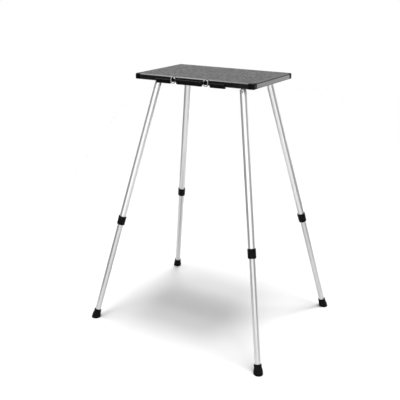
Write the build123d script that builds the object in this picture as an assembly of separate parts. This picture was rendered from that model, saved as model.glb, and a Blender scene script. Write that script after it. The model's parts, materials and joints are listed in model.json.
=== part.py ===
from build123d import *
import os
from math import cos, radians, sin, tan

# Portable stand: a flat top on four splayed legs that telescope and fold under it.
# Millimetres. +X runs along the front edge to the right, -Y is the front with the carrying
# handle, +Z is up. The origin lies on the floor, below the centre of the top.

# Top: a board with an edge rail along each side and a moulded cap on each corner.
# The rails and caps reach below the board.
top_width = 516.0
top_depth = 326.0
stand_height = 1030.0
board_thickness = 16.0
edge_height = 22.2
rail_width = 14.0
rail_top_round = 5.0
rail_bottom_round = 3.5
corner_length = 24.0
corner_round = 6.0

# Leg layout: each leg swings in a plane that leans outward by side_splay, and stands at
# end_splay in that plane. The left and right legs of one side swing in parallel planes,
# row_spacing apart, so that they fold side by side.
end_inset = 60.5
side_inset = 53.0
row_spacing = 35.0
side_splay = 12.0
end_splay = 11.1
pivot_drop = 24.5

# Leg bracket: a base plate under the board with one tongue that carries the hinge pin
base_length = 62.0
base_width = 28.0
base_thickness = 3.0
tongue_thickness = 6.0
tongue_side_gap = 0.3
stop_gap = 0.4
slot_end_gap = 1.5

# Hinge pin: a rivet through the slotted end of the leg
pin_diameter = 6.0
pin_fit = 0.05
pin_head_diameter = 11.0
pin_head_height = 1.6
pin_head_round = 1.0

# Leg tubes, measured along the leg from the hinge pin
upper_diameter = 25.4
lower_diameter = 22.2
tube_wall = 1.2
tube_stub = 10.0
plug_length = 34.0
plug_fit = 0.05
upper_reach = 591.4
tube_overlap = 80.0

# Collar that clamps the lower tube
collar_diameter = 32.0
collar_grip = 25.0
collar_lip = 12.0
collar_fit = 0.05
slide_gap = 0.35
collar_top_round = 2.0
collar_bottom_round = 3.0

# Rubber foot, cut flat where it stands on the floor
foot_length = 38.0
foot_top_diameter = 29.0
foot_neck_diameter = 30.5
foot_bottom_diameter = 35.5
foot_neck_height = 15.0
foot_top_round = 3.0
foot_floor = 8.0
foot_fit = 0.05

# Carrying handle: a grip between two metal rings that swing in eyes on the front rail.
# The handle and the bumpers beside it sit handle_offset to the right of the middle.
handle_offset = -3.8
ring_spread = 142.0
ring_width = 22.0
ring_height = 24.0
ring_wire = 4.0
ring_top_round = 3.0
ring_bottom_round = 7.0
handle_standoff = 11.5
eye_width = 6.4
eye_wall = 1.0
eye_fit = 0.08
eye_drop = 0.3
eye_depth_below = 11.5
grip_gap = 4.0
grip_height = 18.5
grip_thickness = 11.0
grip_drop = 7.5
grip_round = 4.8
lug_wall = 1.8
lug_height = 7.5
lug_fit = 0.1

# Bumper bars on the front rail, one on each side of the handle
bumper_length = 61.0
bumper_gap = 5.0
bumper_height = 15.8
bumper_depth = 12.0
bumper_drop = 11.0
bumper_round = 3.0

# Levels and radii that follow from the sizes above
underside = stand_height - board_thickness
pivot_height = underside - pivot_drop
front_face = -top_depth / 2
upper_radius = upper_diameter / 2
upper_bore = upper_radius - tube_wall
lower_radius = lower_diameter / 2
lower_bore = lower_radius - tube_wall
pin_hole = pin_diameter / 2 + pin_fit
lean = radians(side_splay)
stance = radians(end_splay)
leg_reach = pivot_height / (cos(lean) * cos(stance))
foot_top = leg_reach - foot_length
lower_top = upper_reach - tube_overlap
lower_bottom = leg_reach - foot_floor
tongue_half = (upper_bore - stop_gap) * cos(stance) - tube_stub * sin(stance)
handle_axis_y = front_face - handle_standoff
eye_bore = ring_wire / 2 + eye_fit
eye_radius = eye_bore + eye_wall
handle_axis_z = stand_height - eye_drop - eye_radius

LEGS = {
    "front_left": (-1, -1),
    "front_right": (1, -1),
    "back_left": (-1, 1),
    "back_right": (1, 1),
}
BOTTOM = (Align.CENTER, Align.CENTER, Align.MIN)
TOP = (Align.CENTER, Align.CENTER, Align.MAX)
OUTSIDE = (Align.CENTER, Align.MAX, Align.MAX)


def save(shape, name):
    """Write one piece to its own file."""
    export_step(shape, f"parts/{name}.step")


def round_outer_edges(shape, outer_faces):
    """Round the top and bottom edges of the faces that look outward from the top."""
    upper = ShapeList()
    lower = ShapeList()
    for face in outer_faces:
        upper += face.edges().group_by(Axis.Z)[-1]
        lower += face.edges().group_by(Axis.Z)[0]
    shape = fillet(upper, rail_top_round)
    matching = ShapeList()
    for edge in lower:
        matching.append(shape.edges().sort_by_distance(edge.center())[0])
    return fillet(matching, rail_bottom_round)


def top_panel():
    """The board, inside the rails."""
    board = Box(top_width - 2 * rail_width, top_depth - 2 * rail_width, board_thickness, align=TOP)
    return Pos(0, 0, stand_height) * board


def edge_rail(length):
    """A straight edge rail along X, with its outer face at y = 0 and its top at z = 0."""
    rail = Box(length, rail_width, edge_height, align=(Align.CENTER, Align.MIN, Align.MAX))
    return round_outer_edges(rail, [rail.faces().sort_by(Axis.Y)[0]])


def corner_cap():
    """A corner cap with its outer corner at the origin, running to +X and +Y."""
    block = Box(corner_length, corner_length, edge_height, align=(Align.MIN, Align.MIN, Align.MAX))
    inner = corner_length - rail_width
    notch = Box(inner, inner, edge_height, align=(Align.MIN, Align.MIN, Align.MAX))
    cap = block - Pos(rail_width, rail_width, 0) * notch
    outer_edge = cap.edges().filter_by(Axis.Z).sort_by_distance((0, 0, -edge_height / 2))[0]
    cap = fillet(outer_edge, corner_round)
    middle = -edge_height / 2
    outer_points = [
        (0, (corner_length + corner_round) / 2, middle),
        ((corner_length + corner_round) / 2, 0, middle),
        (corner_round * (1 - sin(radians(45))), corner_round * (1 - sin(radians(45))), middle),
    ]
    outer_faces = [cap.faces().sort_by_distance(point)[0] for point in outer_points]
    return round_outer_edges(cap, outer_faces)


def pivot_point(side, end):
    """Centre of a leg's hinge pin. Opposite legs share a row: inner or outer."""
    row = top_depth / 2 - side_inset - side * end * row_spacing / 2
    return Vector(side * (top_width / 2 - end_inset), end * row, pivot_height)


def swing_plane(side, end):
    """Frame at the hinge pin: x points inward, z down the leaning plane that the leg swings in."""
    down = (0, end * sin(lean), -cos(lean))
    return Plane(origin=pivot_point(side, end), x_dir=(-side, 0, 0), z_dir=down)


def leg_plane(side, end):
    """Frame at the hinge pin: z runs down the leg, x points to the side that it folds to."""
    swing = swing_plane(side, end)
    down = swing.z_dir * cos(stance) - swing.x_dir * sin(stance)
    inward = swing.x_dir * cos(stance) + swing.z_dir * sin(stance)
    return Plane(origin=swing.origin, x_dir=inward, z_dir=down)


def leg_bracket(side, end):
    """Base plate under the board, with a round-ended tongue in the leg's swing plane."""
    swing = swing_plane(side, end)
    tongue_length = (pivot_drop - base_thickness / 2) / cos(lean)
    stem = Box(2 * tongue_half, tongue_thickness, tongue_length, align=TOP)
    knuckle = Rot(90, 0, 0) * Cylinder(tongue_half, tongue_thickness)
    bore = Rot(90, 0, 0) * Cylinder(pin_hole, 2 * tongue_thickness)
    pivot = pivot_point(side, end)
    base_y = pivot.Y - end * tan(lean) * (pivot_drop - base_thickness / 2)
    base = Box(base_length, base_width, base_thickness, align=TOP)
    return Pos(pivot.X, base_y, underside) * base + swing * (stem + knuckle - bore)


def leg_slot(depth_outward):
    """The cut that lets the tongue into the leg's end, open to the side that the leg folds to."""
    length = tube_stub + tongue_half + slot_end_gap
    width = tongue_thickness + 2 * tongue_side_gap
    cut = Box(depth_outward + upper_diameter, width, length, align=(Align.MIN, Align.CENTER, Align.MIN))
    return Pos(-depth_outward, 0, -tube_stub) * cut


def cross_hole():
    """Hole for the hinge pin, across the leg."""
    return Rot(90, 0, 0) * Cylinder(pin_hole, 2 * upper_diameter)


def upper_tube():
    """Upper leg tube. Its wall stays whole on the outer side, where it stops at the tongue."""
    length = upper_reach + tube_stub
    tube = Cylinder(upper_radius, length, align=BOTTOM) - Cylinder(upper_bore, length, align=BOTTOM)
    return Pos(0, 0, -tube_stub) * tube - leg_slot(upper_bore) - cross_hole()


def hinge_plug():
    """Solid plug in the upper tube's end, slotted for the tongue."""
    plug = Pos(0, 0, -tube_stub) * Cylinder(upper_bore - plug_fit, plug_length, align=BOTTOM)
    return plug - leg_slot(upper_diameter) - cross_hole()


def hinge_pin():
    """Rivet with a low round head on each side of the tube."""
    shank = Cylinder(pin_diameter / 2, upper_diameter + pin_head_height)
    head = Cylinder(pin_head_diameter / 2, pin_head_height, align=BOTTOM)
    head = fillet(head.edges().sort_by(Axis.Z)[-1], pin_head_round)
    head = Pos(0, 0, upper_radius) * head
    return Rot(90, 0, 0) * (shank + head + Rot(180, 0, 0) * head)


def collar():
    """Clamping collar on the upper tube's lower end, with a lip around the lower tube."""
    length = collar_grip + collar_lip
    body = Cylinder(collar_diameter / 2, length, align=BOTTOM)
    body = fillet(body.edges().sort_by(Axis.Z)[-1], collar_bottom_round)
    body = fillet(body.edges().sort_by(Axis.Z)[0], collar_top_round)
    seat = Cylinder(upper_radius + collar_fit, collar_grip, align=BOTTOM)
    passage = Cylinder(lower_radius + slide_gap, length, align=BOTTOM)
    return Pos(0, 0, upper_reach - collar_grip) * (body - seat - passage)


def lower_tube():
    """Lower leg tube, from inside the upper one down into the foot."""
    length = lower_bottom - lower_top
    tube = Cylinder(lower_radius, length, align=BOTTOM) - Cylinder(lower_bore, length, align=BOTTOM)
    return Pos(0, 0, lower_top) * tube


def rubber_foot(side, end):
    """Flared boot on the lower tube, cut level with the floor."""
    spare = foot_bottom_diameter / 2
    outline = Polyline(
        (0, 0),
        (foot_top_diameter / 2, 0),
        (foot_neck_diameter / 2, foot_neck_height),
        (foot_bottom_diameter / 2, foot_length - foot_floor),
        (foot_bottom_diameter / 2, foot_length + spare),
        (0, foot_length + spare),
        close=True,
    )
    section = make_face(outline)
    top_corner = section.vertices().sort_by_distance((foot_top_diameter / 2, 0))[0]
    section = fillet(top_corner, foot_top_round)
    neck_corner = section.vertices().sort_by_distance((foot_neck_diameter / 2, foot_neck_height))[0]
    section = fillet(neck_corner, foot_neck_height)
    boot = revolve(Plane.XZ * section, Axis.Z)
    socket = Cylinder(lower_radius + foot_fit, foot_length - foot_floor, align=BOTTOM)
    boot = leg_plane(side, end) * (Pos(0, 0, foot_top) * (boot - socket))
    foot_point = leg_plane(side, end).from_local_coords((0, 0, leg_reach))
    floor = Box(4 * foot_bottom_diameter, 4 * foot_bottom_diameter, 2 * foot_length, align=TOP)
    return boot - Pos(foot_point.X, foot_point.Y, 0) * floor


def ring_place(side):
    """Middle of a ring's top bar, which the ring swings about."""
    return Pos(handle_offset + side * ring_spread / 2, handle_axis_y, handle_axis_z)


def handle_ring(side):
    """Wire ring that hangs from its straight top bar, in front of the front rail."""
    half = (ring_width - ring_wire) / 2
    drop = ring_height - ring_wire
    path = FilletPolyline(
        (-half, 0),
        (half, 0),
        (half, -drop),
        (-half, -drop),
        radius=[ring_top_round, ring_top_round, ring_bottom_round, ring_bottom_round],
        close=True,
    )
    path = Plane.XZ * path
    section = Plane(origin=(half, 0, -drop / 2), z_dir=(0, 0, 1)) * Circle(ring_wire / 2)
    ring = sweep(section, path=path)
    return ring_place(side) * ring


def handle_eye(side):
    """Eye on the front rail: a barrel around the ring's top bar, on a foot against the rail."""
    barrel = Rot(0, 90, 0) * Cylinder(eye_radius, eye_width)
    web = Box(eye_width, handle_standoff, 2 * eye_radius)
    web = Pos(0, handle_standoff / 2, 0) * web
    foot_depth = handle_standoff - eye_radius
    foot = Box(eye_width, foot_depth, eye_depth_below, align=(Align.CENTER, Align.MAX, Align.MAX))
    foot = Pos(0, handle_standoff, 0) * foot
    bore = Rot(0, 90, 0) * Cylinder(eye_bore, 2 * eye_width)
    eye = barrel + web + foot - bore
    return ring_place(side) * eye


def handle_grip():
    """Grip bar with a lug at each end around the inner side of a ring."""
    bar_length = ring_spread - ring_width - 2 * grip_gap
    bar = Box(bar_length, grip_thickness, grip_height)
    bar = fillet(bar.edges().filter_by(Axis.X), grip_round)
    bar_centre_z = stand_height - grip_drop - grip_height / 2
    grip = Pos(handle_offset, handle_axis_y, bar_centre_z) * bar
    lug_hole = ring_wire / 2 + lug_fit
    lug_radius = lug_hole + lug_wall
    lug_x = (ring_spread - ring_width + ring_wire) / 2
    straight = ring_height - ring_wire - ring_top_round - ring_bottom_round
    lug_z = handle_axis_z - ring_top_round - straight / 2
    for side in (-1, 1):
        at_lug = Pos(handle_offset + side * lug_x, handle_axis_y, lug_z)
        web_length = lug_x - bar_length / 2 + lug_radius
        web = Pos(-side * web_length / 2, 0, 0) * Box(web_length, 2 * lug_radius, lug_height)
        hole = Cylinder(lug_hole, 2 * lug_height)
        grip = grip + at_lug * (Cylinder(lug_radius, lug_height) + web) - at_lug * hole
    return grip


def bumper(side):
    """Black bar on the front rail, beside the handle."""
    bar = Box(bumper_length, bumper_depth, bumper_height, align=OUTSIDE)
    front_edges = bar.faces().sort_by(Axis.Y)[0].edges()
    bar = fillet(front_edges, bumper_round)
    start = (ring_spread + ring_width) / 2 + bumper_gap
    middle = handle_offset + side * (start + bumper_length / 2)
    return Pos(middle, front_face, stand_height - bumper_drop) * bar


os.makedirs("parts", exist_ok=True)

save(top_panel(), "top_panel")
front_rail = edge_rail(top_width - 2 * corner_length)
end_rail = edge_rail(top_depth - 2 * corner_length)
save(Pos(0, front_face, stand_height) * front_rail, "rail_front")
save(Pos(0, -front_face, stand_height) * Rot(0, 0, 180) * front_rail, "rail_back")
save(Pos(-top_width / 2, 0, stand_height) * Rot(0, 0, -90) * end_rail, "rail_left")
save(Pos(top_width / 2, 0, stand_height) * Rot(0, 0, 90) * end_rail, "rail_right")

corner_turn = {"front_left": 0, "front_right": 90, "back_right": 180, "back_left": 270}
for name, turn in corner_turn.items():
    side, end = LEGS[name]
    place = Pos(side * top_width / 2, end * top_depth / 2, stand_height) * Rot(0, 0, turn)
    save(place * corner_cap(), f"corner_{name}")

for name, (side, end) in LEGS.items():
    along_leg = leg_plane(side, end)
    save(leg_bracket(side, end), f"bracket_{name}")
    save(along_leg * upper_tube(), f"upper_tube_{name}")
    save(along_leg * hinge_plug(), f"hinge_plug_{name}")
    save(along_leg * hinge_pin(), f"hinge_pin_{name}")
    save(along_leg * collar(), f"collar_{name}")
    save(along_leg * lower_tube(), f"lower_tube_{name}")
    save(rubber_foot(side, end), f"foot_{name}")

for name, side in (("left", -1), ("right", 1)):
    save(handle_eye(side), f"handle_eye_{name}")
    save(handle_ring(side), f"handle_ring_{name}")
    save(bumper(side), f"bumper_{name}")
save(handle_grip(), "handle_grip")

# Joint data for the record, in metres and degrees
for name, (side, end) in LEGS.items():
    along_leg = leg_plane(side, end)
    pivot = along_leg.origin / 1000
    print(name, "pivot", [round(value, 6) for value in pivot])
    print(name, "fold axis", [round(value, 6) for value in along_leg.y_dir])
    print(name, "slide axis", [round(-value, 6) for value in along_leg.z_dir])
print("fold range", 90 + end_splay)
print("slide range", round((foot_top - upper_reach - collar_lip) / 1000, 4))
print("handle axis point", [handle_offset / 1000, handle_axis_y / 1000, handle_axis_z / 1000])
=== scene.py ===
# %% [markdown]
# # Dressing a portable projector stand
#
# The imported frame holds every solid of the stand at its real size: a flat top with black edge
# rails, four splayed legs of telescoping tube, clamping collars, rubber feet and a carrying
# handle. This lesson leaves the solids where they are and gives them finishes, swaps the plain
# moulded pieces for ones with real mould detail, and lights the stand as in a white studio.

# %% Load the frame and keep its box
import json
import math

import bmesh
import bpy
import numpy as np
from mathutils import Matrix, Vector


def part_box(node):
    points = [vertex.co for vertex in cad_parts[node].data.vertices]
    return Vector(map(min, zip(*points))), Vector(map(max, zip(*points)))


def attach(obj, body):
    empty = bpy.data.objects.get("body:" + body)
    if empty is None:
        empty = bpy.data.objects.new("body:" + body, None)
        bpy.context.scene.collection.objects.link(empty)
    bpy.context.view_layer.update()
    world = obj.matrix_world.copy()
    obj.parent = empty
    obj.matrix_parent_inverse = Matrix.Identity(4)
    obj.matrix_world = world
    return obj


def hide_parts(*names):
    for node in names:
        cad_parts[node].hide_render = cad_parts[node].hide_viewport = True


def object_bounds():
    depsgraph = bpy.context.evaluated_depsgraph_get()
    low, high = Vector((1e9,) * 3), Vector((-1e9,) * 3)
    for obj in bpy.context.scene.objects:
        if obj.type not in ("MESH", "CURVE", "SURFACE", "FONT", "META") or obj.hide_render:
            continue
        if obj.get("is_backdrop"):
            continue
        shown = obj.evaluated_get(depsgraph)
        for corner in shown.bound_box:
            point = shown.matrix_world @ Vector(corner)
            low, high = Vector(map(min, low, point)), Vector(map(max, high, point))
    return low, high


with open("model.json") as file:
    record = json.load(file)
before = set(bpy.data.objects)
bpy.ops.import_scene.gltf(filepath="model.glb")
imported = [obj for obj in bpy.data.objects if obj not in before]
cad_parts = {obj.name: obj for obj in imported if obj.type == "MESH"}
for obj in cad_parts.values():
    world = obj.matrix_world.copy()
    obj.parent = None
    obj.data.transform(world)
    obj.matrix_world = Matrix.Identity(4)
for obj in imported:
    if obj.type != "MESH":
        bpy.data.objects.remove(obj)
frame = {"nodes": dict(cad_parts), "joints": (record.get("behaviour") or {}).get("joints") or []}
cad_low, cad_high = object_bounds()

nodes = frame["nodes"]
joints = {joint["name"]: joint for joint in frame["joints"]}
LEGS = ("front_left", "front_right", "back_left", "back_right")
MM = 0.001


def add_object(name, data):
    """Makes an object for a lens, mesh or lamp and puts it in the scene."""
    obj = bpy.data.objects.new(name, data)
    bpy.context.scene.collection.objects.link(obj)
    return obj


print("frame:", len(nodes), "nodes, from", list(cad_low), "to", list(cad_high))

# %% [markdown]
# ## Camera
#
# The photograph looks at the stand from the front right, a little above the top. The camera's
# place, angles and focal length were fitted to the corners of the top and to the feet, so the
# lens is given in pixels of the square picture and turned into millimetres of sensor here.

# %% Camera
CAMERA_PLACE = (1.3474, -2.3305, 1.4074)
CAMERA_YAW = -31.138
CAMERA_PITCH = 18.453
CAMERA_ROLL = 0.173
FOCAL_PIXELS = 688.0
PICTURE_PIXELS = 400
SENSOR_WIDTH = 36.0

lens = bpy.data.cameras.new("camera")
lens.sensor_width = SENSOR_WIDTH
lens.lens = SENSOR_WIDTH * FOCAL_PIXELS / PICTURE_PIXELS
camera = add_object("camera", lens)
turn = Matrix.Rotation(math.radians(-CAMERA_YAW), 4, "Z")
tip = Matrix.Rotation(math.radians(90 - CAMERA_PITCH), 4, "X")
roll = Matrix.Rotation(math.radians(CAMERA_ROLL), 4, "Z")
camera.matrix_world = Matrix.Translation(CAMERA_PLACE) @ turn @ tip @ roll
bpy.context.scene.camera = camera
print("camera lens:", round(lens.lens, 2), "mm")

# %% [markdown]
# ## Measuring the legs
#
# A leg leans two ways at once, so a box around one of its pieces says little. The joints of the
# frame do give the hinge point, the hinge axis and the direction that the tube slides in. Points
# of a piece, taken along that direction and square to it, give its true length and radius.

# %% Leg directions and spans


def node_points(name):
    """All corners of a CAD node as one array."""
    mesh = nodes[name].data
    flat = np.empty(len(mesh.vertices) * 3, dtype=np.float32)
    mesh.vertices.foreach_get("co", flat)
    return flat.reshape(-1, 3).astype(float)


def leg_axes(leg):
    """Hinge point, then unit vectors down the leg, along its hinge pin and to its folding side."""
    fold = joints[f"{leg}_fold"]
    pivot = np.array(fold["pos_m"], dtype=float)
    hinge = np.array(fold["axis"], dtype=float)
    down = -np.array(joints[f"{leg}_slide"]["axis"], dtype=float)
    return pivot, down, hinge, np.cross(hinge, down)


def leg_span(name, leg):
    """Start, end and largest radius of a node, measured along its leg from the hinge point."""
    pivot, down, _, _ = leg_axes(leg)
    offset = node_points(name) - pivot
    along = offset @ down
    square = offset - np.outer(along, down)
    return along.min(), along.max(), np.linalg.norm(square, axis=1).max()


for leg in LEGS:
    spans = [round(value, 4) for value in leg_span(f"collar_{leg}", leg)]
    print("collar", leg, "start, end, radius:", spans)

# %% [markdown]
# ## A small kit for shader nodes
#
# Every finish below is a node tree, and a few helpers keep the trees readable. The first ones add
# a node and set its sockets, make a node group with named sockets, and start a material whose
# constant values sit on the shader's own sockets. The others each stand for one common node.

# %% Node helpers


def add_node(tree, kind, settings=None, **sockets):
    """Adds a node. Settings are its own properties, and sockets are values or links by name."""
    node = tree.nodes.new(kind)
    for key, value in (settings or {}).items():
        setattr(node, key, value)
    for key, value in sockets.items():
        socket = node.inputs[int(key[1:])] if key[0] == "_" else node.inputs[key.replace("_", " ")]
        if isinstance(value, bpy.types.NodeSocket):
            tree.links.new(value, socket)
        else:
            socket.default_value = value
    return node


def new_group(name, inputs, outputs):
    """Makes an empty node group with float or vector sockets, and its two end nodes."""
    tree = bpy.data.node_groups.new(name, "ShaderNodeTree")
    for label, kind, value in inputs:
        socket = tree.interface.new_socket(label, in_out="INPUT", socket_type=kind)
        if value is not None:
            socket.default_value = value
    for label, kind in outputs:
        tree.interface.new_socket(label, in_out="OUTPUT", socket_type=kind)
    return tree, tree.nodes.new("NodeGroupInput"), tree.nodes.new("NodeGroupOutput")


def place_group(tree, group, **sockets):
    """Places a node group in a tree and sets its inputs."""
    return add_node(tree, "ShaderNodeGroup", {"node_tree": group}, **sockets)


def new_material(name, **constants):
    """A material with one Principled shader, its constant values, and Object coordinates."""
    material = bpy.data.materials.new(name)
    material.use_nodes = True
    tree = material.node_tree
    shader = tree.nodes["Principled BSDF"]
    for key, value in constants.items():
        shader.inputs[key.replace("_", " ")].default_value = value
    place = tree.nodes.new("ShaderNodeTexCoord").outputs["Object"]
    return material, tree, shader, place


def mix_colours(tree, mask, low, high):
    """Blends two plain colours by a mask."""
    mixer = add_node(tree, "ShaderNodeMix", {"data_type": "RGBA"}, Factor=mask)
    mixer.inputs[6].default_value = (*low, 1)
    mixer.inputs[7].default_value = (*high, 1)
    return mixer.outputs[2]


def mix_greys(tree, mask, low, high):
    """Blends two plain greys by a mask."""
    return mix_colours(tree, mask, (low,) * 3, (high,) * 3)


def mix_values(tree, mask, low, high):
    """Blends two strengths, each a number or a link, by a mask."""
    mixer = add_node(tree, "ShaderNodeMix", {"data_type": "FLOAT"}, Factor=mask)
    for index, value in ((2, low), (3, high)):
        if isinstance(value, bpy.types.NodeSocket):
            tree.links.new(value, mixer.inputs[index])
        else:
            mixer.inputs[index].default_value = value
    return mixer.outputs[0]


def stretch(tree, value, low, high, to_low, to_high):
    """Maps a value from one range to another, held at the ends."""
    ranger = add_node(tree, "ShaderNodeMapRange", None, Value=value)
    for index, number in enumerate((low, high, to_low, to_high)):
        ranger.inputs[index + 1].default_value = number
    return ranger.outputs["Result"]


def ramp(tree, value, low, high):
    """A mask that is 0 up to low, 1 from high on and even between them."""
    return stretch(tree, value, low, high, 0.0, 1.0)


def calculate(tree, operation, *values, clamp=False):
    """The result of a Math node on numbers or links."""
    sockets = {f"_{index}": value for index, value in enumerate(values)}
    settings = {"operation": operation, "use_clamp": clamp}
    return add_node(tree, "ShaderNodeMath", settings, **sockets).outputs["Value"]


def feed(tree, shader, colour, roughness, height, depth):
    """Links colour and roughness to the shader, and a height as relief of the given depth in metres."""
    relief = add_node(tree, "ShaderNodeBump", None, Strength=1.0, Distance=depth, Height=height)
    tree.links.new(colour, shader.inputs["Base Color"])
    tree.links.new(roughness, shader.inputs["Roughness"])
    tree.links.new(relief.outputs["Normal"], shader.inputs["Normal"])


# %% [markdown]
# ## Shared surface effects
#
# Three effects come back on several finishes, so each is one node group: pebbled grain, as
# pressed into laminate and moulded plastic; drawn lines, as a die leaves along a tube or an
# extruded rail; and handling marks, the soft uneven sheen that hands and cloths leave.

# %% Pebbled grain group
PEBBLE_SMOOTHNESS = 0.35
PEBBLE_REACH = 0.75
PEAK_BAND = (0.42, 0.8)
PATCH_SCALE = 0.37
PATCH_BAND = (0.3, 0.7)
PATCH_LEVELS = (0.55, 1.0)

pebble_tree, source, sink = new_group(
    "pebbled_grain",
    [("Vector", "NodeSocketVector", None), ("Scale", "NodeSocketFloat", 400.0)],
    [("Height", "NodeSocketFloat"), ("Peak", "NodeSocketFloat")],
)
cells = add_node(
    pebble_tree,
    "ShaderNodeTexVoronoi",
    {"feature": "SMOOTH_F1"},
    Vector=source.outputs["Vector"],
    Scale=source.outputs["Scale"],
    Smoothness=PEBBLE_SMOOTHNESS,
)
patches = add_node(
    pebble_tree,
    "ShaderNodeTexNoise",
    None,
    Vector=source.outputs["Vector"],
    Scale=calculate(pebble_tree, "MULTIPLY", source.outputs["Scale"], PATCH_SCALE),
    Detail=3.0,
)
dome = stretch(pebble_tree, cells.outputs["Distance"], 0.0, PEBBLE_REACH, 1.0, 0.0)
uneven = stretch(pebble_tree, patches.outputs["Fac"], *PATCH_BAND, *PATCH_LEVELS)
height = calculate(pebble_tree, "MULTIPLY", dome, uneven)
pebble_tree.links.new(height, sink.inputs["Height"])
pebble_tree.links.new(ramp(pebble_tree, height, *PEAK_BAND), sink.inputs["Peak"])
print("group:", pebble_tree.name)

# %% Drawn lines group
LINES_BAND = (0.3, 0.7)

lines_tree, source, sink = new_group(
    "drawn_lines",
    [
        ("Vector", "NodeSocketVector", None),
        ("Scale", "NodeSocketFloat", 900.0),
        ("Length", "NodeSocketFloat", 0.01),
    ],
    [("Lines", "NodeSocketFloat")],
)
squeeze = add_node(lines_tree, "ShaderNodeCombineXYZ", None, X=1.0, Y=1.0, Z=source.outputs["Length"])
drawn = add_node(
    lines_tree,
    "ShaderNodeVectorMath",
    {"operation": "MULTIPLY"},
    _0=source.outputs["Vector"],
    _1=squeeze.outputs["Vector"],
)
streaks = add_node(
    lines_tree,
    "ShaderNodeTexNoise",
    None,
    Vector=drawn.outputs["Vector"],
    Scale=source.outputs["Scale"],
    Detail=2.0,
    Roughness=0.6,
)
lines_tree.links.new(ramp(lines_tree, streaks.outputs["Fac"], *LINES_BAND), sink.inputs["Lines"])
print("group:", lines_tree.name)

# %% Handling marks group
MARKS_BAND = (0.38, 0.68)

marks_tree, source, sink = new_group(
    "handling_marks",
    [("Vector", "NodeSocketVector", None), ("Scale", "NodeSocketFloat", 30.0)],
    [("Mask", "NodeSocketFloat")],
)
smears = add_node(
    marks_tree,
    "ShaderNodeTexNoise",
    None,
    Vector=source.outputs["Vector"],
    Scale=source.outputs["Scale"],
    Detail=5.0,
    Roughness=0.62,
    Distortion=0.6,
)
marks_tree.links.new(ramp(marks_tree, smears.outputs["Fac"], *MARKS_BAND), sink.inputs["Mask"])
print("group:", marks_tree.name)

# %% The groups in use


def handling_marks(tree, place, scale):
    """The mask of handling marks at a scale."""
    return place_group(tree, marks_tree, Vector=place, Scale=scale).outputs["Mask"]


def lines_along(tree, place, turn_to_run, scale, length):
    """Drawn lines along the direction that the given angles lay on the texture's Z."""
    mapped = add_node(tree, "ShaderNodeMapping", None, Vector=place, Rotation=turn_to_run)
    lines = place_group(tree, lines_tree, Vector=mapped.outputs["Vector"], Scale=scale, Length=length)
    return lines.outputs["Lines"]


def lined_sheen(tree, lines, marks, line_share, gloss, matt):
    """Roughness from gloss to matt, by the handling marks plus a share of the drawn lines."""
    blend = calculate(tree, "MULTIPLY_ADD", lines, line_share, marks)
    return stretch(tree, blend, 0.0, 1 + line_share, gloss, matt)


# %% [markdown]
# ## Finishes
#
# The photograph is almost without colour: a dark pebbled top, black moulded parts, bright
# tube. What tells the finishes apart is gloss and grain, so each one gets its own roughness,
# its own relief and a little uneven sheen instead of one flat value.

# %% Pebbled board
BOARD_SPECULAR = 0.3
BOARD_GRAIN = 300.0
BOARD_MARKS = 85.0
BOARD_MOTTLE = 0.55
BOARD_DARK = (0.010, 0.010, 0.011)
BOARD_LIGHT = (0.190, 0.190, 0.193)
BOARD_ROUGH = (0.62, 0.42)
BOARD_RELIEF = 0.5 * MM


def pebbled_board():
    """Dark laminate with pressed pebble grain on both faces, a little mottled, with painted highlight on
    the peaks.
    """
    material, tree, shader, place = new_material("pebbled_board", Specular_IOR_Level=BOARD_SPECULAR)
    grain = place_group(tree, pebble_tree, Vector=place, Scale=BOARD_GRAIN)
    marks = handling_marks(tree, place, BOARD_MARKS)
    # Painted highlight: the pebble peaks are lighter in colour, and the handling marks add uneven mottle.
    mottle_and_peak_highlight = calculate(tree, "MULTIPLY_ADD", marks, BOARD_MOTTLE, grain.outputs["Peak"], clamp=True)
    colour = mix_colours(tree, mottle_and_peak_highlight, BOARD_DARK, BOARD_LIGHT)
    sheen = stretch(tree, mottle_and_peak_highlight, 0.0, 1.0, *BOARD_ROUGH)
    feed(tree, shader, colour, sheen, grain.outputs["Height"], BOARD_RELIEF)
    return material


# %% Black moulded and extruded finishes
MOULD_SPECULAR = 0.07
MOULD_MARKS = 45.0
RAIL_IOR = 1.8
RAIL_TONE = (0.003, 0.007)
RAIL_ROUGH = (0.14, 0.24)
RAIL_MARKS = 22.0
RAIL_LINES = 700.0
RAIL_LINE_LENGTH = 0.02
RAIL_LINE_SHARE = 0.5
STRIP_FADE = 0.8 * MM
STRIP_FULL = 0.1 * MM
STRIP_ROUGH = 0.55
STRIP_GRAIN = 700.0
STRIP_RELIEF = 0.25 * MM


def black_moulded(name, tone, rough, grain, depth):
    """Black plastic, rubber or enamel: a fine grain, with sheen that is uneven from handling.

    Tone holds the darkest and the lightest grey, and rough the roughness that goes with each.
    """
    material, tree, shader, place = new_material(name, Specular_IOR_Level=MOULD_SPECULAR)
    pebbles = place_group(tree, pebble_tree, Vector=place, Scale=grain)
    marks = handling_marks(tree, place, MOULD_MARKS)
    colour = mix_greys(tree, marks, *tone)
    sheen = stretch(tree, marks, 0.0, 1.0, *rough)
    feed(tree, shader, colour, sheen, pebbles.outputs["Height"], depth)
    return material


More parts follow.
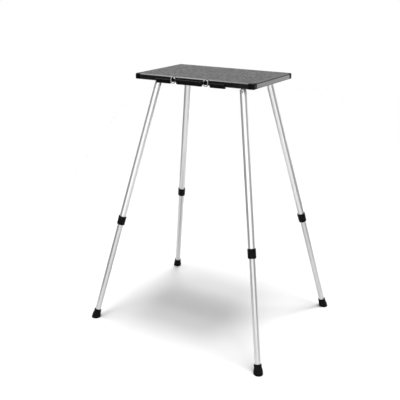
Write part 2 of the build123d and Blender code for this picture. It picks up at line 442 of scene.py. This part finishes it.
def black_extruded(name, turn_to_run):
    """Black extruded rail: glossy sides with faint die lines, and a matt pebbled strip on top."""
    material, tree, shader, place = new_material(name, IOR=RAIL_IOR)
    lines = lines_along(tree, place, turn_to_run, RAIL_LINES, RAIL_LINE_LENGTH)
    marks = handling_marks(tree, place, RAIL_MARKS)
    pebbles = place_group(tree, pebble_tree, Vector=place, Scale=STRIP_GRAIN)
    level = add_node(tree, "ShaderNodeSeparateXYZ", None, Vector=place).outputs["Z"]
    strip = ramp(tree, level, cad_high[2] - STRIP_FADE, cad_high[2] - STRIP_FULL)
    colour = mix_greys(tree, marks, *RAIL_TONE)
    sheen = lined_sheen(tree, lines, marks, RAIL_LINE_SHARE, *RAIL_ROUGH)
    sheen = mix_values(tree, strip, sheen, STRIP_ROUGH)
    relief = mix_values(tree, strip, 0.0, pebbles.outputs["Height"])
    feed(tree, shader, colour, sheen, relief, STRIP_RELIEF)
    return material


# %% Metal finishes
METAL_LINES = 1500.0
METAL_LINE_LENGTH = 0.002
METAL_LINE_SHARE = 0.6
METAL_MARKS = 14.0
METAL_RELIEF = 0.002 * MM
# Facing values over which the painted edge shade comes in.
EDGE_SHADE_BAND = (0.07, 0.26)


def drawn_metal(name, turn_to_run, tone, rough, edge_shade=1.0):
    """Bright drawn metal: fine lines along the run, a little cloudy from handling.

    Tone holds the grey between the lines and on them, and rough the roughness that goes from gloss
    to matt. Painted shade darkens the colour where the surface turns away from the view, down to the
    given share of what it is face on.
    """
    material, tree, shader, place = new_material(name, Metallic=1.0)
    lines = lines_along(tree, place, turn_to_run, METAL_LINES, METAL_LINE_LENGTH)
    marks = handling_marks(tree, place, METAL_MARKS)
    bare = stretch(tree, lines, 0.0, 1.0, *tone)
    # Painted shade: the colour darkens towards the edges that turn away from the view.
    turned_away = add_node(tree, "ShaderNodeLayerWeight", None, Blend=0.5).outputs["Facing"]
    painted_edge_shade = stretch(tree, turned_away, *EDGE_SHADE_BAND, 1.0, edge_shade)
    colour = mix_greys(tree, calculate(tree, "MULTIPLY", bare, painted_edge_shade), 0.0, 1.0)
    sheen = lined_sheen(tree, lines, marks, METAL_LINE_SHARE, *rough)
    feed(tree, shader, colour, sheen, lines, METAL_RELIEF)
    return material


def turn_to(direction):
    """Angles for a Mapping node that lay the given direction along the texture's Z."""
    spin = Vector(direction).normalized().rotation_difference(Vector((0, 0, 1)))
    return tuple(spin.to_euler())


ALONG_X = turn_to((1, 0, 0))
ALONG_Y = turn_to((0, 1, 0))
ALONG_Z = turn_to((0, 0, 1))

# %% Give every CAD node its finish
MOULDED = {
    "corner_cap": {"tone": (0.005, 0.010), "rough": (0.30, 0.46), "grain": 1500.0, "depth": 0.03 * MM},
    "bumper": {"tone": (0.005, 0.010), "rough": (0.30, 0.50), "grain": 1300.0, "depth": 0.04 * MM},
    "black_plastic": {"tone": (0.004, 0.009), "rough": (0.30, 0.46), "grain": 1400.0, "depth": 0.03 * MM},
    "rubber_foot": {"tone": (0.004, 0.009), "rough": (0.55, 0.75), "grain": 1100.0, "depth": 0.06 * MM},
    "black_enamel": {"tone": (0.006, 0.012), "rough": (0.25, 0.40), "grain": 900.0, "depth": 0.03 * MM},
    "grip": {"tone": (0.005, 0.011), "rough": (0.36, 0.55), "grain": 1000.0, "depth": 0.08 * MM},
}
STEEL_PIN = {"tone": (0.50, 0.66), "rough": (0.25, 0.42)}
BRIGHT_RING = {"tone": (0.32, 0.44), "rough": (0.22, 0.36)}
# The last value of each tube finish darkens the colour at the edges turned away from the view: painted
# shade.
UPPER_TUBE = {"tone": (0.76, 0.84), "rough": (0.27, 0.35), "edge_shade": 0.84}
# The lower tube's darker tone is painted shade, standing in for the darker reflections low on the legs.
LOWER_TUBE_SHADED = {"tone": (0.60, 0.68), "rough": (0.28, 0.38), "edge_shade": 0.95}

board_finish = pebbled_board()
rail_x_finish = black_extruded("edge_rail_long", ALONG_X)
rail_y_finish = black_extruded("edge_rail_end", ALONG_Y)
moulded = {name: black_moulded(name, **values) for name, values in MOULDED.items()}
pin_finish = drawn_metal("steel_pin", ALONG_Z, **STEEL_PIN)
ring_finish = drawn_metal("bright_ring", ALONG_Z, **BRIGHT_RING)

PLAIN_FINISHES = {
    "top_panel": board_finish,
    "rail_front": rail_x_finish,
    "rail_back": rail_x_finish,
    "rail_left": rail_y_finish,
    "rail_right": rail_y_finish,
    "corner_": moulded["corner_cap"],
    "bracket_": moulded["black_enamel"],
    "hinge_plug_": moulded["black_plastic"],
    "hinge_pin_": pin_finish,
    "collar_": moulded["black_plastic"],
    "foot_": moulded["rubber_foot"],
    "handle_eye_": moulded["black_enamel"],
    "handle_ring_": ring_finish,
    "handle_grip": moulded["grip"],
    "bumper_": moulded["bumper"],
}


def set_finish(obj, material):
    """Makes the material the only one on an object."""
    obj.data.materials.clear()
    obj.data.materials.append(material)


for name, obj in nodes.items():
    for start, material in PLAIN_FINISHES.items():
        if name.startswith(start):
            set_finish(obj, material)
for leg in LEGS:
    run = turn_to(leg_axes(leg)[1])
    set_finish(nodes[f"upper_tube_{leg}"], drawn_metal(f"upper_tube_{leg}", run, **UPPER_TUBE))
    set_finish(nodes[f"lower_tube_{leg}"], drawn_metal(f"lower_tube_{leg}", run, **LOWER_TUBE_SHADED))
print("finishes:", len(bpy.data.materials))

# %% [markdown]
# ## Building a piece from grids of points
#
# The moulded pieces are all closed surfaces over two parameters: one runs along an outline, the
# other around an axis. Numpy works out a whole grid of points at once, and one function turns
# grids into a mesh. Rows that shrink to a point become a pole when the doubles are merged.

# %% Grid to mesh
SMOOTH_ANGLE = math.radians(35)
MERGE_DISTANCE = 1e-6


def grid_quads(rows, columns, loop_rows):
    """Quads between neighbours of a grid. Columns always close on themselves, rows if asked."""
    used_rows = rows if loop_rows else rows - 1
    row, column = np.meshgrid(np.arange(used_rows), np.arange(columns), indexing="ij")
    start = row * columns
    next_start = (row + 1) % rows * columns
    beside = (column + 1) % columns
    quads = [start + column, start + beside, next_start + beside, next_start + column]
    return np.stack(quads, axis=-1).reshape(-1, 4)


def build_piece(name, grids, body, finish):
    """One object from closed grids: merges poles, turns faces outward and smooths all but sharp edges."""
    corners = [points.reshape(-1, 3) for points, _ in grids]
    starts = np.cumsum([0] + [len(points) for points in corners])
    faces = [grid_quads(*points.shape[:2], loop) + start for (points, loop), start in zip(grids, starts)]
    mesh = bpy.data.meshes.new(name)
    mesh.from_pydata(np.vstack(corners).tolist(), [], np.vstack(faces).tolist())
    shell = bmesh.new()
    shell.from_mesh(mesh)
    bmesh.ops.remove_doubles(shell, verts=shell.verts, dist=MERGE_DISTANCE)
    bmesh.ops.recalc_face_normals(shell, faces=shell.faces)
    shell.to_mesh(mesh)
    shell.free()
    mesh.polygons.foreach_set("use_smooth", np.ones(len(mesh.polygons), dtype=bool))
    mesh.set_sharp_from_angle(angle=SMOOTH_ANGLE)
    piece = add_object(name, mesh)
    set_finish(piece, finish)
    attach(piece, body)
    return piece


def around(leg, along, radius, angle):
    """Points about a leg's axis.

    point = hinge point + along * down + radius * (cos(angle) * inward + sin(angle) * hinge axis)
    """
    pivot, down, hinge, inward = leg_axes(leg)
    spoke = np.cos(angle)[..., None] * inward + np.sin(angle)[..., None] * hinge
    return pivot + along[..., None] * down + radius[..., None] * spoke


def full_circle(columns):
    """Angles of a closed row of points, all the way round."""
    return np.linspace(0, 2 * math.pi, columns, endpoint=False)


def quarter_round(size, steps):
    """Offsets of a quarter circle: how far it has run along, and how far it still falls short."""
    angle = np.linspace(0, math.pi / 2, steps)
    return size * (1 - np.cos(angle)), size * (1 - np.sin(angle))


def smooth_step(value, low, high):
    """0 below low, 1 above high, and a cubic ease between them."""
    part = np.clip((value - low) / (high - low), 0, 1)
    return part * part * (3 - 2 * part)


# %% [markdown]
# ## Clamping collars
#
# Each upper tube ends in a black collar that is turned to clamp the lower tube. It is a lathed
# shape: a plain ring at the top, a fine groove, and below it the part that the hand turns, with
# shallow flutes. The outline goes down the outside and back up the bore, so the piece is a real
# hollow collar and not a solid cap.

# %% Collars
COLLAR_GRIP = 25.0 * MM
COLLAR_TOP_ROUND = 2.0 * MM
COLLAR_BOTTOM_ROUND = 3.0 * MM
COLLAR_RING = 8.0 * MM
COLLAR_GROOVE = 0.6 * MM
COLLAR_GROOVE_WIDTH = 0.8 * MM
FLUTE_COUNT = 18
FLUTE_DEPTH = 0.55 * MM
FLUTE_EASE = 2.5 * MM
BORE_GAP = 0.05 * MM
SLIDE_GAP = 0.35 * MM
COLLAR_TOP_ROWS = 6
COLLAR_SIDE_ROWS = 48
COLLAR_BOTTOM_ROWS = 7
COLLAR_COLUMNS = 144


def collar_grid(leg):
    """Lathed collar.

    radius = outline - groove(s) - flute depth * band(s) * (1 + cos(flutes * angle)) / 2, where the
    groove is a bell curve at the ring's edge and band eases from 0 to 1 and back over the grip part.
    """
    start, end, radius = leg_span(f"collar_{leg}", leg)
    length = end - start
    seat = leg_span(f"upper_tube_{leg}", leg)[2] + BORE_GAP
    passage = leg_span(f"lower_tube_{leg}", leg)[2] + SLIDE_GAP
    run, short = quarter_round(COLLAR_TOP_ROUND, COLLAR_TOP_ROWS)
    bottom_short, bottom_run = quarter_round(COLLAR_BOTTOM_ROUND, COLLAR_BOTTOM_ROWS)
    side = np.linspace(COLLAR_TOP_ROUND, length - COLLAR_BOTTOM_ROUND, COLLAR_SIDE_ROWS)[1:-1]
    inside_along = np.array([length, COLLAR_GRIP, COLLAR_GRIP, 0.0])
    inside_radius = np.array([passage, passage, seat, seat])
    along = np.concatenate([run, side, length - bottom_run, inside_along])
    wall = np.full(len(side), radius)
    outline = np.concatenate([radius - short, wall, radius - bottom_short, inside_radius])
    groove = COLLAR_GROOVE * np.exp(-((along - COLLAR_RING) / COLLAR_GROOVE_WIDTH) ** 2)
    band = smooth_step(along, COLLAR_RING + COLLAR_GROOVE_WIDTH, COLLAR_RING + FLUTE_EASE)
    band *= 1 - smooth_step(along, length - COLLAR_BOTTOM_ROUND - FLUTE_EASE, length - COLLAR_BOTTOM_ROUND)
    outside = np.arange(len(along)) < len(along) - len(inside_along)
    angle = full_circle(COLLAR_COLUMNS)
    flutes = FLUTE_DEPTH * (1 + np.cos(FLUTE_COUNT * angle)) / 2
    depth = np.where(outside, groove, 0)[:, None] + np.where(outside, band, 0)[:, None] * flutes
    shape = depth.shape
    return around(leg, np.broadcast_to((start + along)[:, None], shape), outline[:, None] - depth,
                  np.broadcast_to(angle, shape))


for leg in LEGS:
    collar = build_piece(f"moulded_collar_{leg}", [(collar_grid(leg), True)], f"leg_{leg}",
                         moulded["black_plastic"])
    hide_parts(f"collar_{leg}")
    print("collar:", collar.name, len(collar.data.polygons), "faces")

# %% [markdown]
# ## Rubber feet
#
# A foot is a boot that the tube is pushed into: a rounded rim, two shallow rings, a flare, and a
# flat sole with a tread groove. The leg leans but the sole is level, so the last rows of the grid
# are not at one distance along the leg. For every angle, the row's distance is solved from the
# floor plane instead.

# %% Feet
FOOT_RIM_RADIUS = 14.5 * MM
FOOT_NECK_RADIUS = 15.25 * MM
FOOT_NECK = 15.0 * MM
FOOT_FLARE_END = 30.0 * MM
FOOT_RIM_ROUND = 2.2 * MM
FOOT_RINGS = (8.0 * MM, 13.0 * MM)
FOOT_RING_DEPTH = 0.5 * MM
FOOT_RING_WIDTH = 1.1 * MM
FOOT_FIT = 0.05 * MM
SOLE_ROUND = 1.4 * MM
TREAD = (12.4 * MM, 9.2 * MM)
TREAD_DEPTH = 1.0 * MM
FOOT_RIM_ROWS = 7
FOOT_SIDE_ROWS = 44
SOLE_ROWS = 6
FOOT_COLUMNS = 96


def foot_grid(leg):
    """Lathed boot with a level sole.

    Wall rows lie at a fixed distance along the leg, with radius = eased flare - rings. Sole rows have
    a fixed radius and a lift above the floor, taken along the leg, so their distance along the leg is
    -(hinge height + radius * spoke height) / (height of the down vector) - lift.
    """
    pivot, down, hinge, inward = leg_axes(leg)
    start, _, base = leg_span(f"foot_{leg}", leg)
    bore = leg_span(f"lower_tube_{leg}", leg)[2] + FOOT_FIT
    run, short = quarter_round(FOOT_RIM_ROUND, FOOT_RIM_ROWS)
    side = np.linspace(FOOT_RIM_ROUND, FOOT_FLARE_END, FOOT_SIDE_ROWS)[1:]
    neck = FOOT_RIM_RADIUS + (FOOT_NECK_RADIUS - FOOT_RIM_RADIUS) * side / FOOT_NECK
    wall = neck + (base - neck) * smooth_step(side, FOOT_NECK - FOOT_RIM_ROUND, FOOT_FLARE_END)
    for ring in FOOT_RINGS:
        wall -= FOOT_RING_DEPTH * np.exp(-((side - ring) / FOOT_RING_WIDTH) ** 2)
    along = np.concatenate([[FOOT_FLARE_END, FOOT_FLARE_END, 0.0], run, side])
    radius = np.concatenate([[0.0, bore, bore], FOOT_RIM_RADIUS - short, wall])
    angle = full_circle(FOOT_COLUMNS)
    wall_along = np.broadcast_to((start + along)[:, None], (len(along), FOOT_COLUMNS))
    sole_short, sole_lift = quarter_round(SOLE_ROUND, SOLE_ROWS)
    sole_radius = np.concatenate([base - sole_short, [TREAD[0], TREAD[0], TREAD[1], TREAD[1], 0.0]])
    lift = np.concatenate([sole_lift, [0.0, TREAD_DEPTH, TREAD_DEPTH, 0.0, 0.0]])
    spoke_height = np.cos(angle) * inward[2] + np.sin(angle) * hinge[2]
    sole_along = -(pivot[2] + sole_radius[:, None] * spoke_height) / down[2] - lift[:, None]
    all_along = np.vstack([wall_along, sole_along])
    all_radius = np.broadcast_to(np.concatenate([radius, sole_radius])[:, None], all_along.shape)
    return around(leg, all_along, all_radius, np.broadcast_to(angle, all_along.shape))


for leg in LEGS:
    foot = build_piece(f"moulded_foot_{leg}", [(foot_grid(leg), False)], f"extension_{leg}",
                       moulded["rubber_foot"])
    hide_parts(f"foot_{leg}")
    print("foot:", foot.name, len(foot.data.polygons), "faces")

# %% [markdown]
# ## Carrying handle
#
# The grip is a moulded bar that swells a little in the middle, with shallow ribs for the fingers
# and a lug at each end that closes around the inner side of a wire ring. The bar is a superellipse
# carried along X: a rounded rectangle whose two half sizes change along the way.

# %% Grip
GRIP_SHOULDER = 9.0 * MM
GRIP_END_SHARE = 0.9
GRIP_SQUARENESS = 3.4
GRIP_RIBS = 14
GRIP_RIB_DEPTH = 0.045
LUG_WALL = 1.8 * MM
LUG_FIT = 0.1 * MM
LUG_HEIGHT = 7.5 * MM
LUG_BELOW_RING_TOP = 10.0 * MM
LUG_EDGE = 0.7 * MM
NECK_REACH = 0.4 * MM
NECK_DEPTH = 0.94
NECK_HEIGHT = 0.44
BAR_GAP = 4.0 * MM
BAR_END_SHARE = 0.25
BAR_END_ROWS = 9
BAR_SIDE_ROWS = 181
GRIP_COLUMNS = 64


def superellipse(angle, squareness):
    """Unit rounded rectangle: each coordinate is sign * |cos or sin| to the power 2 / squareness."""
    across = np.sign(np.cos(angle)) * np.abs(np.cos(angle)) ** (2 / squareness)
    upward = np.sign(np.sin(angle)) * np.abs(np.sin(angle)) ** (2 / squareness)
    return across, upward


def bar_grid(centre, half, shoulder, end_share, ribs, rib_depth):
    """Bar along X with rounded ends.

    Half sizes = size * (end share + (1 - end share) * ease from the shoulder) * rounded end * ribs, where
    the rounded end is a quarter circle over the last stretch and closes in a pole, and the ribs leave
    two shoulders plain at each end.
    """
    half_length, half_depth, half_height = half
    sweep = np.linspace(0, math.pi / 2, BAR_END_ROWS)
    end_round = shoulder * BAR_END_SHARE
    plain = 2 * shoulder
    ends = half_length - end_round + end_round * np.sin(sweep)
    middle = np.linspace(-half_length + end_round, half_length - end_round, BAR_SIDE_ROWS)
    x = np.concatenate([-ends[::-1], middle[1:-1], ends])
    closing = np.concatenate([np.cos(sweep[::-1]), np.ones(len(middle) - 2), np.cos(sweep)])
    closing[[0, -1]] = 0
    inset = half_length - np.abs(x)
    share = end_share + (1 - end_share) * smooth_step(inset, 0, shoulder)
    wave = (1 + np.cos(2 * math.pi * ribs * x / (2 * half_length - 2 * plain))) / 2
    ribbed = 1 - rib_depth * wave * smooth_step(inset, plain - end_round, plain + end_round)
    angle = full_circle(GRIP_COLUMNS)
    across, upward = superellipse(angle, GRIP_SQUARENESS)
    size = (share * closing * ribbed)[:, None]
    section = (half_depth * size * across, half_height * size * upward)
    return np.stack(np.broadcast_arrays(x[:, None], *section), -1) + centre


def lug_grid(centre, hole, radius):
    """Lathed ring about Z: a rectangle with eased corners carried round the hole."""
    edge = LUG_HEIGHT / 2
    upper_half = np.array([
        (hole, edge - LUG_EDGE),
        (hole + LUG_EDGE / 2, edge),
        (radius - LUG_EDGE, edge),
        (radius, edge - LUG_EDGE),
    ])
    outline = np.concatenate([upper_half, upper_half[::-1] * (1, -1)])
    angle = full_circle(GRIP_COLUMNS)
    rim = outline[:, :1]
    height = np.broadcast_to(outline[:, 1:], (len(outline), GRIP_COLUMNS))
    return np.stack([rim * np.cos(angle), rim * np.sin(angle), height], -1) + centre


grip_low, grip_high = (np.array(corner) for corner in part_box("handle_grip"))
grip_centre = (grip_low + grip_high) / 2
grip_half = (grip_high - grip_low) / 2
grip_grids = []
for side, ring_name in ((-1, "handle_ring_left"), (1, "handle_ring_right")):
    ring_low, ring_high = (np.array(corner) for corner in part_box(ring_name))
    wire = ring_high[1] - ring_low[1]
    inner_x = ring_high[0] - wire / 2 if side < 0 else ring_low[0] + wire / 2
    lug_centre = np.array([inner_x, grip_centre[1], ring_high[2] - LUG_BELOW_RING_TOP])
    lug_hole = wire / 2 + LUG_FIT
    lug_radius = lug_hole + LUG_WALL
    grip_grids.append((lug_grid(lug_centre, lug_hole, lug_radius), True))
    bar_end = inner_x - side * (wire / 2 + BAR_GAP)
    neck_from = bar_end - side * GRIP_SHOULDER
    neck_to = inner_x - side * (lug_radius - NECK_REACH)
    neck_centre = np.array([(neck_from + neck_to) / 2, lug_centre[1], lug_centre[2]])
    neck_half = (abs(neck_to - neck_from) / 2, lug_radius * NECK_DEPTH, LUG_HEIGHT * NECK_HEIGHT)
    neck = bar_grid(neck_centre, neck_half, LUG_EDGE, end_share=1.0, ribs=1, rib_depth=0.0)
    grip_grids.append((neck, False))
bar_half = grip_half - np.array([lug_radius + wire / 2 + BAR_GAP, 0, 0])
bar = bar_grid(grip_centre, bar_half, GRIP_SHOULDER, GRIP_END_SHARE, GRIP_RIBS, GRIP_RIB_DEPTH)
grip = build_piece("moulded_grip", grip_grids + [(bar, False)], "handle", moulded["grip"])
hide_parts("handle_grip")
print("grip:", len(grip.data.polygons), "faces")

# %% [markdown]
# ## Bracket screws
#
# The brackets are screwed to the underside of the board. A pan head is a low dome, and its cross
# recess is worked into the same surface by lowering the points that lie within the two slots.

# %% Screws
SCREW_RADIUS = 3.4 * MM
SCREW_HEIGHT = 1.9 * MM
SCREW_INSET_X = 8.0 * MM
SCREW_INSET_Y = 5.5 * MM
SLOT_HALF_WIDTH = 0.42 * MM
SLOT_REACH = 1.9 * MM
SLOT_DEPTH = 1.1 * MM
SLOT_SIDE_EASE = 1.6
SLOT_END_EASE = 0.85
SCREW_TURN = 1.7
SCREW_FACE = 0.9
SCREW_FACE_ROWS = 16
SCREW_RIM = (0.95, 0.985, 1.0)
DOME_POWER = 4
SCREW_COLUMNS = 48
BASE_THICKNESS = 3.0 * MM


def screw_grid(centre, turn):
    """Pan head that hangs below its centre.

    Drop = height * (1 - radius share to the fourth power) ** 0.5 - slot depth * slot mask, where the mask
    is 1 near either of two crossed lines and eases to 0 to their sides and at the end of their reach.
    """
    share = np.concatenate([np.linspace(0, SCREW_FACE, SCREW_FACE_ROWS), SCREW_RIM])[:, None]
    angle = full_circle(SCREW_COLUMNS)
    x = SCREW_RADIUS * share * np.cos(angle)
    y = SCREW_RADIUS * share * np.sin(angle)
    reach = np.hypot(x, y)
    nearest = np.minimum(np.abs(x), np.abs(y))
    mask = 1 - smooth_step(nearest, SLOT_HALF_WIDTH, SLOT_HALF_WIDTH * SLOT_SIDE_EASE)
    mask *= 1 - smooth_step(reach, SLOT_REACH * SLOT_END_EASE, SLOT_REACH)
    dome = SCREW_HEIGHT * np.sqrt(1 - share ** DOME_POWER)
    drop = dome - SLOT_DEPTH * mask
    turned_x = x * math.cos(turn) - y * math.sin(turn)
    turned_y = x * math.sin(turn) + y * math.cos(turn)
    head = np.stack([turned_x, turned_y, -drop], -1)
    back = np.zeros((1, SCREW_COLUMNS, 3))
    return np.concatenate([head, back]) + centre


screw_count = 0
for leg in LEGS:
    low, high = (np.array(corner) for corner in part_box(f"bracket_{leg}"))
    middle = (low + high) / 2
    half = (high - low) / 2 - np.array([SCREW_INSET_X, SCREW_INSET_Y, 0])
    heads = []
    for x_side in (-1, 1):
        for y_side in (-1, 1):
            place = middle + half * (x_side, y_side, 0)
            place[2] = high[2] - BASE_THICKNESS
            heads.append((screw_grid(place, SCREW_TURN * screw_count), False))
            screw_count += 1
    build_piece(f"bracket_screws_{leg}", heads, "top", pin_finish)
print("screws:", screw_count)

# %% [markdown]
# ## Floor
#
# The photograph is a white studio: nothing shows of the floor but the soft grey shade of the top
# and the fainter bands of the legs. A strip of white floor takes that shade. It is lifted a little
# for the camera and for reflections, so that it is pure white where nothing shades it.

# %% Floor
FLOOR_LEFT = 1.0
FLOOR_RIGHT = 1.5
FLOOR_FRONT = 4.0
FLOOR_BACK = 6.0
FLOOR_WHITE = 0.95
FLOOR_LIFT = 0.07
FLOOR_ROUGH = 0.9

front = Vector((CAMERA_PLACE[0], CAMERA_PLACE[1], 0)).normalized()
rightward = Vector((-front.y, front.x, 0))
corners = [
    front * ahead + rightward * aside
    for ahead, aside in (
        (FLOOR_FRONT, -FLOOR_LEFT),
        (FLOOR_FRONT, FLOOR_RIGHT),
        (-FLOOR_BACK, FLOOR_RIGHT),
        (-FLOOR_BACK, -FLOOR_LEFT),
    )
]
floor_mesh = bpy.data.meshes.new("floor")
floor_mesh.from_pydata(corners, [], [(0, 1, 2, 3)])
floor = add_object("floor", floor_mesh)
floor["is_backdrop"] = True

floor_finish = bpy.data.materials.new("white_floor")
floor_finish.use_nodes = True
tree = floor_finish.node_tree
shader = tree.nodes["Principled BSDF"]
shader.inputs["Base Color"].default_value = (FLOOR_WHITE, FLOOR_WHITE, FLOOR_WHITE, 1)
shader.inputs["Roughness"].default_value = FLOOR_ROUGH
shader.inputs["Specular IOR Level"].default_value = 0.0
shader.inputs["Emission Color"].default_value = (1, 1, 1, 1)
rays = tree.nodes.new("ShaderNodeLightPath")
seen = calculate(tree, "MAXIMUM", rays.outputs["Is Camera Ray"], rays.outputs["Is Glossy Ray"])
seen = calculate(tree, "MAXIMUM", seen, rays.outputs["Is Transmission Ray"])
tree.links.new(calculate(tree, "MULTIPLY", seen, FLOOR_LIFT), shader.inputs["Emission Strength"])
set_finish(floor, floor_finish)
print("floor:", FLOOR_LEFT + FLOOR_RIGHT, "by", FLOOR_FRONT + FLOOR_BACK, "m")

# %% [markdown]
# ## What the metal and the gloss reflect
#
# Bright tube and black gloss show their surroundings more than their own colour. The world is
# plain white to the camera and an even, dim white to matt surfaces. Reflections see a studio: a
# bright front, grey flanks, a white back with dimmer corners, two dark panels and a bright one
# overhead. The front draws the white line down each tube, the flanks and dark panels draw the grey
# lines beside it, and the bright panel shows in the rounded front edge of the top.

# %% World
AMBIENT = 0.13
BACK_WALL = 1.0
BACK_LEFT = 0.25
BACK_RIGHT = 0.35
FLANK = 0.60
FRONT_WALL = 1.5
PANELS = (
    {"direction": (-0.52, -0.84, -0.15), "strength": 0.08, "edge": (0.93, 0.98)},
    {"direction": (0.98, -0.14, -0.12), "strength": 0.20, "edge": (0.93, 0.98)},
    {"direction": (-0.50, -0.15, 0.86), "strength": 3.0, "edge": (0.75, 0.95)},
)
CORNER_EDGE = (0.45, 0.7)
FLANK_EDGE = (-0.25, 0.0)
FRONT_EDGE = (0.6, 0.8)

world = bpy.data.worlds.new("studio")
bpy.context.scene.world = world
world.use_nodes = True
tree = world.node_tree
background = tree.nodes["Background"]
background.inputs["Color"].default_value = (1, 1, 1, 1)
rays = tree.nodes.new("ShaderNodeLightPath")
heading = tree.nodes.new("ShaderNodeTexCoord").outputs["Generated"]


def facing(direction):
    """How far the looked-at direction agrees with a given one, from -1 to 1."""
    dot = add_node(tree, "ShaderNodeVectorMath", {"operation": "DOT_PRODUCT"}, _0=heading, _1=direction)
    return dot.outputs["Value"]


to_front = facing(front)
walls = mix_values(tree, ramp(tree, facing(rightward), *CORNER_EDGE), BACK_WALL, BACK_RIGHT)
walls = mix_values(tree, ramp(tree, facing(-rightward), *CORNER_EDGE), walls, BACK_LEFT)
walls = mix_values(tree, ramp(tree, to_front, *FLANK_EDGE), walls, FLANK)
reflected = mix_values(tree, ramp(tree, to_front, *FRONT_EDGE), walls, FRONT_WALL)
for panel in PANELS:
    agreement = facing(Vector(panel["direction"]).normalized())
    reflected = mix_values(tree, ramp(tree, agreement, *panel["edge"]), reflected, panel["strength"])
lighting = mix_values(tree, rays.outputs["Is Glossy Ray"], AMBIENT, reflected)
seen = calculate(tree, "MAXIMUM", rays.outputs["Is Camera Ray"], rays.outputs["Is Transmission Ray"])
strength = mix_values(tree, seen, lighting, 1.0)
tree.links.new(strength, background.inputs["Strength"])
print("world: ambient", AMBIENT, "front", FRONT_WALL, "flanks", FLANK)

# %% [markdown]
# ## Lamps
#
# Three suns stand almost overhead: two fairly small ones, about fifteen degrees apart, which give
# the shade its shape, and a wide one that softens it. Two area lamps are there for their
# reflections: one lies along the right end of the top, the other in the rounded front edge.

# %% Lamps
KEY_HEIGHT = 4.0
KEYS = {
    "back_key": {"direction": (0.08, 0.083, 1.0), "brightness": 0.475, "angle": 14},
    "front_key": {"direction": (0.104, -0.171, 1.0), "brightness": 0.33, "angle": 14},
    "wide_key": {"direction": (0.10, 0.0, 1.0), "brightness": 0.055, "angle": 45},
}
END_STRIP = {
    "place": (1.1, 1.9, 0.72),
    "target": (0.254, 0.0, 1.02),
    "size": (1.0, 0.5),
    "brightness": 1.4,
}
FRONT_STRIP = {
    "place": (-0.9, -0.4, 2.4),
    "target": (0.0, -0.16, 1.03),
    "size": (1.2, 0.35),
    "brightness": 4.0,
}


def aim(lamp, place, target):
    """Puts a lamp at a place, facing a target."""
    turn = (Vector(target) - Vector(place)).to_track_quat("-Z", "Y")
    lamp.matrix_world = Matrix.Translation(place) @ turn.to_matrix().to_4x4()


def sun_lamp(name, direction, brightness, angle):
    """A sun that lights a level white sheet to the given brightness, from a disc of so many degrees."""
    data = bpy.data.lights.new(name, "SUN")
    data.energy = brightness * math.pi
    data.angle = math.radians(angle)
    aim(add_object(name, data), Vector(direction) * KEY_HEIGHT, (0, 0, 0))


for name, key in KEYS.items():
    sun_lamp(name, **key)


def strip_lamp(name, place, target, size, brightness):
    """An area lamp whose brightness is what a mirror would show of it."""
    data = bpy.data.lights.new(name, "AREA")
    data.shape = "RECTANGLE"
    data.size, data.size_y = size
    data.energy = brightness * math.pi * size[0] * size[1]
    lamp = add_object(name, data)
    lamp.visible_camera = False
    aim(lamp, place, target)


strip_lamp("end_strip", **END_STRIP)
strip_lamp("front_strip", **FRONT_STRIP)
bpy.context.scene.view_settings.view_transform = "Standard"
print("lamps:", len(bpy.data.lights))

# %% Sizes
low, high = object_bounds()
